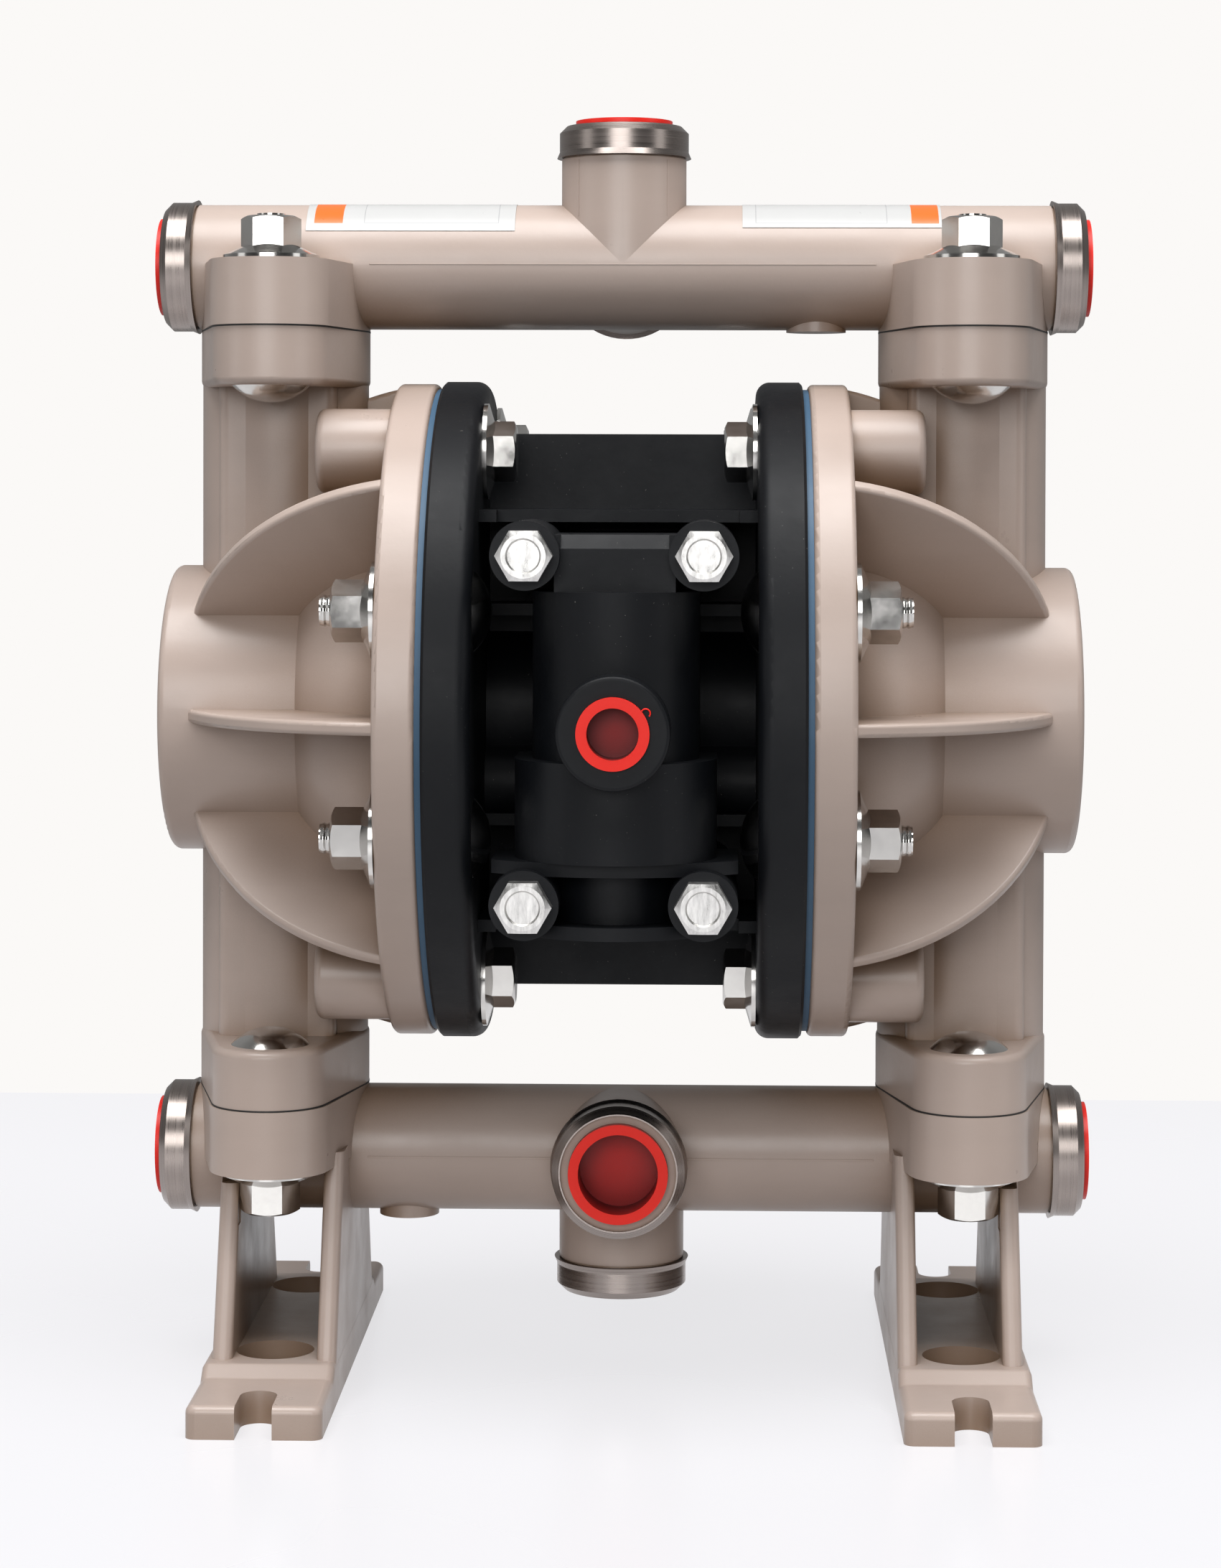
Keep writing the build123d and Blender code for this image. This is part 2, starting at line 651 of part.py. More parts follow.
def valve_gasket():
    back = valve_face_y + gasket_thick
    sheet = block(-valve_upper_radius, valve_upper_radius, valve_face_y, back, valve_end_z, valve_top_z)
    for side in (-1, 1):
        for rise in (-1, 1):
            sheet += along_y(valve_boss_radius, valve_face_y, back, side * valve_bolt_x, rise * valve_bolt_z)
    for side in (-1, 1):
        for rise in (-1, 1):
            sheet -= along_y(rim_bolt_radius + fit_gap, valve_face_y - 1, back + 1, side * valve_bolt_x,
                             rise * valve_bolt_z)
    return sheet - air_ports(valve_face_y - 1, back + 1)


def valve_block_bolt(x, z):
    seat = valve_boss_front_y
    dish = Pos(0, 0, valve_bolt_head) * Cone(valve_bolt_dish - valve_dish_depth, valve_bolt_dish,
                                             2 * valve_dish_depth)
    head = hexagon(valve_bolt_flats, 0, valve_bolt_head, hex_corner_break) - dish
    shank = along_z(rim_bolt_radius, seat - valve_face_y - valve_thread_length, 0)
    return Pos(x, seat, z) * Rot(90, 0, 0) * (head + shank)


def valve_sleeve():
    sleeve = along_z(sleeve_radius, -sleeve_half_length, sleeve_half_length, 0, valve_core_y)
    sleeve -= along_z(spool_land_radius + fit_gap, -sleeve_half_length - 1, sleeve_half_length + 1,
                      0, valve_core_y)
    sleeve -= along_y(inlet_way_radius, valve_core_y - sleeve_radius - 1, valve_core_y)
    return sleeve - air_ports(valve_core_y, valve_face_y)


def valve_end_cap():
    plug = along_z(sleeve_radius, sleeve_half_length, valve_top_z, 0, valve_core_y)
    return chamfer(plug.edges().group_by(Axis.Z)[-1], 0.6)


def spool_land_places():
    offset = spool_half_length - spool_land_width / 2
    return [Pos(0, valve_core_y, z) for z in (-offset, -offset / 4, offset / 4, offset)]


def valve_spool():
    spool = along_z(spool_waist_radius, -spool_half_length, spool_half_length, 0, valve_core_y)
    for place in spool_land_places():
        spool += place * (Cylinder(spool_land_radius, spool_land_width)
                          - Torus(spool_land_radius, oring_section / 2))
    return spool


def spool_rings():
    ring = Torus(spool_land_radius, oring_section / 2 - fit_gap) \
        & Cylinder(spool_land_radius, spool_land_width)
    return [place * ring for place in spool_land_places()]


# ---------------------------------------------------------------- moving inside
def diaphragm():
    bend_start = plate_radius + 3.0
    bend_end = chamber_radius - 3.0
    t = diaphragm_thick
    ring = spun_about_x([
        (rim_face_x, diaphragm_radius), (cap_face_x, diaphragm_radius),
        (cap_face_x, bend_end), (cap_face_x + plate_lift, bend_start), (cap_face_x + plate_lift, 0),
        (rim_face_x + plate_lift, 0), (rim_face_x + plate_lift, bend_start - t / 4),
        (rim_face_x, bend_end - t / 4)])
    for angle in carriage_angles + blind_angles:
        y, z = polar(rim_bolt_circle, angle)
        ring -= along_x(bolt_hole_radius, rim_face_x - 1, cap_face_x + 1, y, z)
    return ring - along_x(screw_radius + fit_gap, rim_face_x, cap_face_x + plate_lift + 1)


def clamp_plate(clamp_x, free_x, free_radius):
    """Plate that clamps the middle of a diaphragm, tapered towards its free face."""
    points = [(clamp_x, 0), (clamp_x, plate_radius), (clamp_x + (free_x - clamp_x) / 3, plate_radius),
              (free_x, free_radius), (free_x, 0)]
    low, high = sorted((clamp_x, free_x))
    return spun_about_x(points) - along_x(screw_radius + fit_gap, low - 1, high + 1)


def diaphragm_screw():
    shank = along_x(screw_radius, screw_head_x - screw_depth, screw_head_x + 0.5)
    head = Rot(0, 90, 0) * hexagon(screw_head_flats, screw_head_x, screw_head_x + screw_head_height)
    return shank + head


def diaphragm_rod():
    rod = along_x(rod_radius, -air_plate_x, air_plate_x)
    for side in (-1, 1):
        low, high = sorted((side * (screw_head_x - screw_depth), side * (air_plate_x + 1)))
        rod -= along_x(screw_radius + fit_gap, low, high)
    return rod


def bushing(inner, outer, length, y=0.0, z=0.0):
    low, high = bushing_face_x - length, bushing_face_x
    return along_x(outer, low, high, y, z) - along_x(inner + fit_gap, low - 1, high + 1, y, z)


# ---------------------------------------------------------------- fasteners
def carriage_bolt(grip, reach):
    """Domed head below z = 0, shank up through the grip and out of its nut by reach."""
    sphere_radius = (dome_head_radius ** 2 + dome_head_height ** 2) / (2 * dome_head_height)
    dome = Pos(0, 0, sphere_radius - dome_head_height) * Sphere(sphere_radius)
    dome &= Pos(0, 0, -dome_head_height / 2) * Cylinder(dome_head_radius, dome_head_height)
    end = grip + nut_flange_height + nut_hex_height + reach
    return dome + along_z(rim_bolt_radius, -dome_head_height / 4, end)


def flange_nut():
    """Flange nut standing on z = 0."""
    cone_height = nut_flange_height - nut_flange_lip
    cone = Cone(nut_flange_radius, nut_across_flats / 2, cone_height)
    body = along_z(nut_flange_radius, 0, nut_flange_lip)
    body += Pos(0, 0, nut_flange_lip + cone_height / 2) * cone
    barrel = hexagon(nut_across_flats, nut_flange_height - nut_flange_lip,
                     nut_flange_height + nut_hex_height, hex_corner_break)
    return body + barrel - along_z(rim_bolt_radius + fit_gap, -1, nut_flange_height + nut_hex_height + 1)


def hex_flange_bolt():
    """Flanged hex head above z = 0, shank down into a blind boss."""
    cone_height = head_flange_height - nut_flange_lip
    cone = Cone(nut_flange_radius, nut_across_flats / 2, cone_height)
    head = along_z(nut_flange_radius, 0, nut_flange_lip)
    head += Pos(0, 0, nut_flange_lip + cone_height / 2) * cone
    head += hexagon(nut_across_flats, nut_flange_lip / 2, nut_flange_lip + hex_head_height, hex_corner_break)
    return head + along_z(rim_bolt_radius, body_disc_inner_x - cap_face_x - blind_engagement,
                          nut_flange_lip / 2)


def rim_set(part, angles, face_x, outward):
    """Copies of a fastener round the rim, its z axis laid along the rod axis."""
    turn = Rot(0, 90 if outward else -90, 0)
    copies = []
    for angle in angles:
        y, z = polar(rim_bolt_circle, angle)
        copies.append(Pos(face_x, y, z) * turn * part)
    return copies


def joint_set(part, height, upward):
    turn = Rot(0, 0, 0) if upward else Rot(180, 0, 0)
    return [Pos(x, y, height) * turn * part
            for x in (-column_offset, column_offset)
            for y in (-manifold_bolt_offset, manifold_bolt_offset)]


# ---------------------------------------------------------------- ports and plugs
def port_band():
    """Pressed steel band on a port nose, along +Z, its lip flush outside z = 0."""
    inner = port_nose_radius + band_gap
    outer = inner + band_thick
    open_end = band_thick - band_width
    outline = Polyline((inner, 0, open_end), (outer + band_flare, 0, open_end),
                       (outer, 0, open_end + band_flare_length), (outer, 0, band_thick - band_corner),
                       (outer - band_corner, 0, band_thick), (band_lip_radius, 0, band_thick),
                       (band_lip_radius, 0, band_gap), (inner, 0, band_gap), close=True)
    return revolve(make_face(outline), Axis.Z)


def cup_plug(radius, wall, depth, proud):
    """Moulded cup plug along +Z, its rim proud of z = 0 and its mouth outwards."""
    cup = along_z(radius - fit_gap, -depth, proud)
    return cup - along_z(radius - wall, -depth + plug_floor, proud + 1)


def port_places(axis_z, up, sideways):
    """Turn and place that lay a +Z fitting on each port of a manifold."""
    return {
        "right": Pos(port_end_x, 0, axis_z) * Rot(0, 90, 0),
        "left": Pos(-port_end_x, 0, axis_z) * Rot(0, -90, 0),
        "middle": Pos(0, 0, axis_z + up * port_reach) * Rot(0 if up > 0 else 180, 0, 0),
        "side": Pos(0, sideways * port_reach, axis_z) * Rot(90 if sideways < 0 else -90, 0, 0),
    }


# ---------------------------------------------------------------- assembly
right_cap = raised(right_fluid_cap())
nodes["right_fluid_cap"] = right_cap
nodes["left_fluid_cap"] = mirrored(right_cap)
nodes["outlet_manifold"] = outlet_manifold()
nodes["inlet_manifold"] = inlet_manifold()
nodes["center_body"] = raised(center_body())

nodes["valve_block"] = raised(valve_block())
nodes["valve_gasket"] = raised(valve_gasket())
nodes["valve_sleeve"] = raised(valve_sleeve())
nodes["valve_end_cap"] = raised(valve_end_cap())
nodes["valve_spool"] = raised(valve_spool())
nodes["spool_rings"] = raised(group(spool_rings()))
nodes["valve_block_bolts"] = raised(group([
    valve_block_bolt(x, z) for x in (-valve_bolt_x, valve_bolt_x) for z in (-valve_bolt_z, valve_bolt_z)]))

nodes["diaphragm_rod"] = raised(diaphragm_rod())
rod_bushing = bushing(rod_radius, bushing_radius, bushing_length)
nodes["rod_bushings"] = raised(group([rod_bushing, mirrored(rod_bushing)]))
pilot_bushing = bushing(pilot_radius, pilot_bushing_radius, pilot_bushing_length, pilot_y, pilot_z)
nodes["pilot_rod"] = raised(along_x(pilot_radius, -pilot_half_length, pilot_half_length, pilot_y, pilot_z))
nodes["pilot_bushings"] = raised(group([pilot_bushing, mirrored(pilot_bushing)]))

sides = {"right": lambda part: part, "left": mirrored}
for side, place in sides.items():
    nodes[side + "_diaphragm"] = raised(place(diaphragm()))
    nodes[side + "_air_plate"] = raised(place(clamp_plate(plate_face_x, air_plate_x, air_plate_flat)))
    nodes[side + "_fluid_plate"] = raised(place(clamp_plate(fluid_plate_x, screw_head_x, fluid_plate_flat)))
    nodes[side + "_diaphragm_screw"] = raised(place(diaphragm_screw()))
    rim_grip = cap_back_x - body_disc_inner_x
    nodes[side + "_rim_bolts"] = raised(place(group(
        rim_set(carriage_bolt(rim_grip, thread_reach), carriage_angles, body_disc_inner_x, True))))
    nodes[side + "_rim_nuts"] = raised(place(group(
        rim_set(flange_nut(), carriage_angles, cap_back_x, True))))
    nodes[side + "_hex_bolts"] = raised(place(group(
        rim_set(hex_flange_bolt(), blind_angles, body_disc_inner_x, False))))

joint_bolt = carriage_bolt(bolt_grip, joint_thread_reach)
for name, up in (("outlet", 1), ("inlet", -1)):
    head_z = axis_height + up * (joint_rise - ear_thick)
    axis_z = axis_height + up * manifold_rise
    nodes[name + "_joint_bolts"] = group(joint_set(joint_bolt, head_z, up > 0))
    nodes[name + "_joint_nuts"] = group(joint_set(flange_nut(), axis_z, up > 0))
    ring_z = axis_height + up * joint_rise
    ring = Torus(joint_ring_radius, oring_section / 2)
    half = Cylinder(cap_flange_radius, oring_section)
    nodes[name + "_joint_rings"] = group([
        Pos(x, 0, ring_z) * (ring & (Pos(0, 0, up * oring_section / 2) * half))
        for x in (-column_offset, column_offset)])
    seat_low = outlet_seat_z if up > 0 else -joint_rise
    seat = along_z(cage_radius - fit_gap, seat_low, seat_low + seat_height) \
        - along_z(seat_bore_radius, seat_low - 1, seat_low + seat_height + 1)
    nodes[name + "_seats"] = group([
        Pos(x, 0, axis_height) * seat for x in (-column_offset, column_offset)])
    ball_z = axis_height + seat_low + seat_height + ball_seat_height + fit_gap
    for side, x in (("left", -column_offset), ("right", column_offset)):
        nodes[name + "_" + side + "_ball"] = Pos(x, 0, ball_z) * Sphere(ball_radius)

outlet_ports = port_places(outlet_axis_z, 1, 1)
inlet_ports = port_places(inlet_axis_z, -1, -1)
nodes["outlet_port_bands"] = group([place * port_band() for place in outlet_ports.values()])
nodes["inlet_port_bands"] = group([place * port_band() for place in inlet_ports.values()])
fluid_plug = cup_plug(port_bore_radius, plug_wall, plug_depth, plug_proud)
nodes["outlet_top_plug"] = outlet_ports["middle"] * fluid_plug
nodes["outlet_left_plug"] = outlet_ports["left"] * fluid_plug
nodes["outlet_right_plug"] = outlet_ports["right"] * fluid_plug
nodes["inlet_front_plug"] = inlet_ports["side"] * fluid_plug
nodes["inlet_left_plug"] = inlet_ports["left"] * fluid_plug
nodes["inlet_right_plug"] = inlet_ports["right"] * fluid_plug
nodes["air_inlet_plug"] = Pos(0, inlet_boss_front_y, axis_height) * Rot(90, 0, 0) \
    * cup_plug(inlet_bore_radius, inlet_plug_wall, inlet_plug_depth, air_plug_proud)

os.makedirs("parts", exist_ok=True)
for name, part in nodes.items():
    export_step(part, os.path.join("parts", name + ".step"))
print(len(nodes), "nodes written")
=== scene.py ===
import bpy
import json
import math
from mathutils import Matrix, Vector


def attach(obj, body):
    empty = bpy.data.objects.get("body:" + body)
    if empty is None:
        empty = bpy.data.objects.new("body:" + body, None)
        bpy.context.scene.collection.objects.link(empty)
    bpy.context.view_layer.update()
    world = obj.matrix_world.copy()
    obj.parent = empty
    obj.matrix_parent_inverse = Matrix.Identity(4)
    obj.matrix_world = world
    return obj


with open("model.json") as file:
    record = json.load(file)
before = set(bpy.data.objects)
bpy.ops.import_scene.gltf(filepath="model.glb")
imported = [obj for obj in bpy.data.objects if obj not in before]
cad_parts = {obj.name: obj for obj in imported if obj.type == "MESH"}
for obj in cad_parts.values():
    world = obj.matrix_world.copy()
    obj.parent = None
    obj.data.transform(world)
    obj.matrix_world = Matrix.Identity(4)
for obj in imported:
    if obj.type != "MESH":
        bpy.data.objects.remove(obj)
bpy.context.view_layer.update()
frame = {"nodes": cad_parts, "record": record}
print("frame loaded", len(frame["nodes"]), "nodes")

axisHeight = 0.1434
outletAxis = 0.2398
inletAxis = 0.0470
tubeRadius = 0.0136


# camera
def placeCamera():
    size = {"lens": 81.83, "shiftX": -0.00934, "shiftY": -0.15618, "place": (0.0196, -0.78, 0.1932),
            "yaw": -0.0246, "pitch": 0.0163, "roll": -0.0027}
    forward = Vector((math.sin(size["yaw"]) * math.cos(size["pitch"]),
                      math.cos(size["yaw"]) * math.cos(size["pitch"]), -math.sin(size["pitch"])))
    right = Vector((math.cos(size["yaw"]), -math.sin(size["yaw"]), 0))
    up = right.cross(forward)
    turn = Matrix.Rotation(size["roll"], 3, forward)
    right, up = turn @ right, turn @ up
    matrix = Matrix((right, up, -forward)).transposed().to_4x4()
    matrix.translation = Vector(size["place"])
    camera = bpy.data.cameras.new("camera")
    camera.sensor_fit = "AUTO"
    camera.sensor_width = 36
    camera.lens = size["lens"]
    camera.shift_x = size["shiftX"]
    camera.shift_y = size["shiftY"]
    camera.clip_end = 20
    holder = bpy.data.objects.new("camera", camera)
    bpy.context.collection.objects.link(holder)
    holder.matrix_world = matrix
    bpy.context.scene.camera = holder


# material building blocks
def nodeMaterial(name):
    material = bpy.data.materials.new(name)
    material.use_nodes = True
    tree = material.node_tree
    shader = next(node for node in tree.nodes if node.type == "BSDF_PRINCIPLED")
    return material, tree, shader


def addNode(tree, kind, **values):
    node = tree.nodes.new(kind)
    for key, value in values.items():
        if hasattr(node, key):
            setattr(node, key, value)
        else:
            node.inputs[key].default_value = value
    return node


def objectAxes(tree):
    place = addNode(tree, "ShaderNodeTexCoord")
    split = addNode(tree, "ShaderNodeSeparateXYZ")
    tree.links.new(place.outputs["Object"], split.inputs["Vector"])
    return split.outputs


def combine(tree, operation, first, second=None):
    node = addNode(tree, "ShaderNodeMath", operation=operation)
    for socket, value in zip(node.inputs, (first, second)):
        if isinstance(value, bpy.types.NodeSocket):
            tree.links.new(value, socket)
        elif value is not None:
            socket.default_value = value
    return node.outputs[0]


def noise(tree, scale, detail=4.0, rough=0.55, stretch=(1, 1, 1)):
    place = addNode(tree, "ShaderNodeTexCoord")
    mapping = addNode(tree, "ShaderNodeMapping")
    mapping.inputs["Scale"].default_value = stretch
    texture = addNode(tree, "ShaderNodeTexNoise", **{"Scale": scale, "Detail": detail, "Roughness": rough})
    tree.links.new(place.outputs["Object"], mapping.inputs["Vector"])
    tree.links.new(mapping.outputs["Vector"], texture.inputs["Vector"])
    return texture.outputs["Fac"]


def ramp(tree, source, stops):
    node = addNode(tree, "ShaderNodeValToRGB")
    elements = node.color_ramp.elements
    for element, (position, colour) in zip(elements, stops):
        element.position = position
        element.color = (*colour, 1)
    for position, colour in stops[2:]:
        elements.new(position).color = (*colour, 1)
    tree.links.new(source, node.inputs["Fac"])
    return node.outputs["Color"]


def spread(tree, source, low, high, fromLow=0.0, fromHigh=1.0):
    node = addNode(tree, "ShaderNodeMapRange", **{"From Min": fromLow, "From Max": fromHigh,
                                                  "To Min": low, "To Max": high})
    tree.links.new(source, node.inputs["Value"])
    return node.outputs["Result"]


def mixColour(tree, share, first, second, way="MIX"):
    node = addNode(tree, "ShaderNodeMix", data_type="RGBA", blend_type=way)
    for socket, value in ((node.inputs[0], share), (node.inputs[6], first), (node.inputs[7], second)):
        if isinstance(value, bpy.types.NodeSocket):
            tree.links.new(value, socket)
        elif isinstance(value, (int, float)):
            socket.default_value = value
        else:
            socket.default_value = (*value, 1)
    return node.outputs[2]


def bump(tree, shader, source, strength, distance):
    node = addNode(tree, "ShaderNodeBump", **{"Strength": strength, "Distance": distance})
    tree.links.new(source, node.inputs["Height"])
    tree.links.new(node.outputs["Normal"], shader.inputs["Normal"])


# finishes
def plasticLook(name, colour, other, rough, lift=0.05, specular=0.5, dust=0.0, edgeHighlight=0.12, paintedShade=None,
                reach=0.006):
    size = {"cloud": 9.0, "grain": 700.0, "grainDepth": 0.0004, "flowShare": 0.8, "flowFiner": 3.5,
            "edgeLift": 1.35, "speckScale": 1500.0, "patchScale": 26.0, "dustTone": (0.42, 0.40, 0.37)}
    material, tree, shader = nodeMaterial(name)
    tone = ramp(tree, noise(tree, size["cloud"], 5.0), ((0.35, other), (0.65, colour)))
    streaks = noise(tree, size["cloud"] * size["flowFiner"], 6.0, 0.6, (1, 1, 4))
    flow = ramp(tree, streaks, ((0.3, (0.93, 0.93, 0.93)), (0.7, (1, 1, 1))))
    tone = mixColour(tree, size["flowShare"], tone, flow, "MULTIPLY")
    shape = addNode(tree, "ShaderNodeNewGeometry")
    # painted highlight: sharp edges, found by pointiness, are painted lighter than the body colour
    edge = spread(tree, shape.outputs["Pointiness"], 0.0, edgeHighlight, 0.52, 0.6)
    tone = mixColour(tree, edge, tone, [min(1.0, part * size["edgeLift"] + 0.02) for part in colour])
    # painted shade: ambient occlusion darkens corners, recesses and the undersides of nearby parts toward
    # the given shade colour, within reach
    if paintedShade:
        gap = addNode(tree, "ShaderNodeAmbientOcclusion", samples=8, **{"Distance": reach})
        tone = mixColour(tree, spread(tree, gap.outputs["AO"], 1.0, 0.0, 0.15, 0.75), tone, paintedShade)
    if dust:
        specks = spread(tree, noise(tree, size["speckScale"], 2.0), 0.0, 1.0, 0.72, 0.76)
        patches = spread(tree, noise(tree, size["patchScale"], 4.0), 0.0, dust, 0.45, 0.75)
        tone = mixColour(tree, combine(tree, "MULTIPLY", specks, patches), tone, size["dustTone"])
    tree.links.new(tone, shader.inputs["Base Color"])
    sheen = noise(tree, size["cloud"] * 6, 6.0, 0.65)
    tree.links.new(spread(tree, sheen, rough - 0.07, rough + 0.09, 0.3, 0.7), shader.inputs["Roughness"])
    bump(tree, shader, noise(tree, size["grain"], 3.0), lift, size["grainDepth"])
    shader.inputs["Specular IOR Level"].default_value = specular
    return material


# dull to bright along the marks, with the roughness following
def metalFinish(tree, shader, marks, colour, shade, edges, rough, spreadBy, relief):
    dark = [part * shade for part in colour]
    tree.links.new(ramp(tree, marks, ((edges[0], dark), (edges[1], colour))), shader.inputs["Base Color"])
    tree.links.new(spread(tree, marks, rough - spreadBy[0], rough + spreadBy[1], 0.3, 0.7),
                   shader.inputs["Roughness"])
    height, strength, depth = relief
    bump(tree, shader, height, strength, depth)
    shader.inputs["Metallic"].default_value = 1.0


def steelLook(name, colour, rough, stretch=(1, 1, 1)):
    size = {"marks": 160.0, "shade": 0.82, "lift": 0.02, "depth": 0.0002}
    material, tree, shader = nodeMaterial(name)
    marks = noise(tree, size["marks"], 5.0, 0.6, stretch)
    metalFinish(tree, shader, marks, colour, size["shade"], (0.3, 0.7), rough, (0.05, 0.08),
                (marks, size["lift"], size["depth"]))
    return material


# bolt heads struck by the former, pitted and scratched
def struckLook(name, colour, rough):
    size = {"dents": 620.0, "scratches": 900.0, "shade": 0.7, "lift": 0.10, "depth": 0.0003}
    material, tree, shader = nodeMaterial(name)
    place = addNode(tree, "ShaderNodeTexCoord")
    dents = addNode(tree, "ShaderNodeTexVoronoi", feature="SMOOTH_F1", **{"Scale": size["dents"]})
    tree.links.new(place.outputs["Object"], dents.inputs["Vector"])
    scratches = noise(tree, size["scratches"], 6.0, 0.7, (1, 1, 0.25))
    both = combine(tree, "ADD", dents.outputs["Distance"], scratches)
    metalFinish(tree, shader, scratches, colour, size["shade"], (0.35, 0.65), rough, (0.06, 0.12),
                (both, size["lift"], size["depth"]))
    return material


# rolled bands, with their fine lines running round each port
def bandLook(name, colour, rough):
    size = {"fine": 2600.0, "slow": 20.0, "portReach": 0.016, "sideX": 0.08, "shade": 0.80}
    material, tree, shader = nodeMaterial(name)
    axes = objectAxes(tree)
    fine, slow = size["fine"], size["slow"]
    alongX = noise(tree, 1.0, 4.0, 0.6, (fine, slow, slow))
    alongY = noise(tree, 1.0, 4.0, 0.6, (slow, fine, slow))
    alongZ = noise(tree, 1.0, 4.0, 0.6, (slow, slow, fine))
    upright = combine(tree, "GREATER_THAN", axes["Z"], outletAxis + size["portReach"])
    side = combine(tree, "GREATER_THAN", combine(tree, "ABSOLUTE", axes["X"]), size["sideX"])
    lowest = combine(tree, "LESS_THAN", axes["Z"], inletAxis - size["portReach"])
    marks = mixColour(tree, upright, alongY, alongZ)
    marks = mixColour(tree, lowest, marks, alongZ)
    marks = mixColour(tree, side, marks, alongX)
    metalFinish(tree, shader, marks, colour, size["shade"], (0.3, 0.7), rough, (0.03, 0.06),
                (marks, 0.02, 0.0002))
    return material


# bare paper with one coloured patch and a thin frame, both laid out along the tube and round it
def labelLook(name, patch, frameLine):
    size = {"line": 0.00016, "lineTurn": 0.012, "lineTone": (0.35, 0.35, 0.36),
            "patchTone": (0.80, 0.15, 0.02), "paperLow": (0.515, 0.515, 0.51),
            "paperHigh": (0.54, 0.54, 0.535)}
    material, tree, shader = nodeMaterial(name)
    axes = objectAxes(tree)
    across = axes["X"]
    level = combine(tree, "SUBTRACT", axes["Z"], outletAxis)
    front = combine(tree, "MULTIPLY", axes["Y"], -1.0)
    around = combine(tree, "ARCTAN2", front, level)

    def inside(*limits):
        shares = []
        for socket, low, high in limits:
            shares.append(combine(tree, "GREATER_THAN", socket, low))
            shares.append(combine(tree, "LESS_THAN", socket, high))
        result = shares[0]
        for share in shares[1:]:
            result = combine(tree, "MULTIPLY", result, share)
        return result

    paper = ramp(tree, noise(tree, 60.0, 4.0), ((0.3, size["paperLow"]), (0.7, size["paperHigh"])))
    block = inside((across, patch[0], patch[1]), (around, patch[2], patch[3]))
    tone = mixColour(tree, block, paper, size["patchTone"])
    left, right, rear, lead = frameLine
    thin, turn = size["line"], size["lineTurn"]
    for limits in (((across, left, right), (around, lead - turn, lead)),
                   ((across, left, right), (around, rear, rear + turn)),
                   ((across, left, left + thin), (around, rear, lead)),
                   ((across, right - thin, right), (around, rear, lead))):
        tone = mixColour(tree, inside(*limits), tone, size["lineTone"])
    tree.links.new(tone, shader.inputs["Base Color"])
    tree.links.new(spread(tree, noise(tree, 300.0, 3.0), 0.24, 0.36), shader.inputs["Roughness"])
    bump(tree, shader, noise(tree, 220.0, 2.0), 0.03, 0.0002)
    return material


# room, floor and light
def makeWorld():
    size = {"backdrop": (0.965, 0.947, 0.930), "front": 0.05, "middle": 0.13, "back": 0.30}
    world = bpy.data.worlds.new("room")
    world.use_nodes = True
    bpy.context.scene.world = world
    tree = world.node_tree
    back = next(node for node in tree.nodes if node.type == "BACKGROUND")
    place = addNode(tree, "ShaderNodeTexCoord")
    split = addNode(tree, "ShaderNodeSeparateXYZ")
    tree.links.new(place.outputs["Generated"], split.inputs["Vector"])
    along = spread(tree, split.outputs["Y"], 0.0, 1.0, -1.0, 1.0)
    front, middle, rear = ([size[key]] * 3 for key in ("front", "middle", "back"))
    room = ramp(tree, along, ((0.12, front), (0.42, middle), (0.8, rear)))
    ray = addNode(tree, "ShaderNodeLightPath")
    shown = mixColour(tree, ray.outputs["Is Camera Ray"], room, size["backdrop"])
    tree.links.new(shown, back.inputs["Color"])
    back.inputs["Strength"].default_value = 1.0


def addLight(name, lamp, aim):
    light = bpy.data.lights.new(name, "AREA")
    light.shape = "RECTANGLE"
    light.size = lamp["width"]
    light.size_y = lamp["height"]
    light.energy = lamp["power"]
    holder = bpy.data.objects.new(name, light)
    bpy.context.collection.objects.link(holder)
    holder.location = lamp["place"]
    holder.rotation_euler = (Vector(aim) - Vector(lamp["place"])).to_track_quat("-Z", "Y").to_euler()


def makeFloor():
    size = {"half": 3.0, "back": 0.335, "front": -3.0, "thick": 0.02,
            "pale": (0.20, 0.198, 0.206), "near": (0.45, 0.43, 0.42), "far": (0.04, 0.04, 0.04),
            "glow": 0.72}
    bpy.ops.object.select_all(action="DESELECT")
    middle = (size["back"] + size["front"]) / 2
    bpy.ops.mesh.primitive_cube_add(size=1, location=(0, middle, -size["thick"] / 2))
    floor = bpy.context.object
    floor.name = "floor"
    floor.scale = (2 * size["half"], size["back"] - size["front"], size["thick"])
    bpy.ops.object.transform_apply(location=True, scale=True)
    material, tree, shader = nodeMaterial("floorWhite")
    ray = addNode(tree, "ShaderNodeLightPath")
    direct = combine(tree, "MAXIMUM", ray.outputs["Is Camera Ray"], ray.outputs["Is Glossy Ray"])
    duller = [part * 0.985 for part in size["pale"]]
    pale = ramp(tree, noise(tree, 1.5, 2.0), ((0.3, duller), (0.7, size["pale"])))
    place = addNode(tree, "ShaderNodeTexCoord")
    ring = addNode(tree, "ShaderNodeVectorMath", operation="LENGTH")
    tree.links.new(place.outputs["Object"], ring.inputs[0])
    bounce = ramp(tree, ring.outputs["Value"], ((0.16, size["near"]), (0.34, size["far"])))
    tree.links.new(mixColour(tree, direct, bounce, pale), shader.inputs["Base Color"])
    tree.links.new(spread(tree, noise(tree, 4.0, 3.0), 0.24, 0.30), shader.inputs["Roughness"])
    shader.inputs["Specular IOR Level"].default_value = 0.35
    glow = spread(tree, direct, 0.0, size["glow"])
    shader.inputs["Emission Color"].default_value = (0.95, 0.945, 0.97, 1)
    tree.links.new(glow, shader.inputs["Emission Strength"])
    floor.data.materials.append(material)


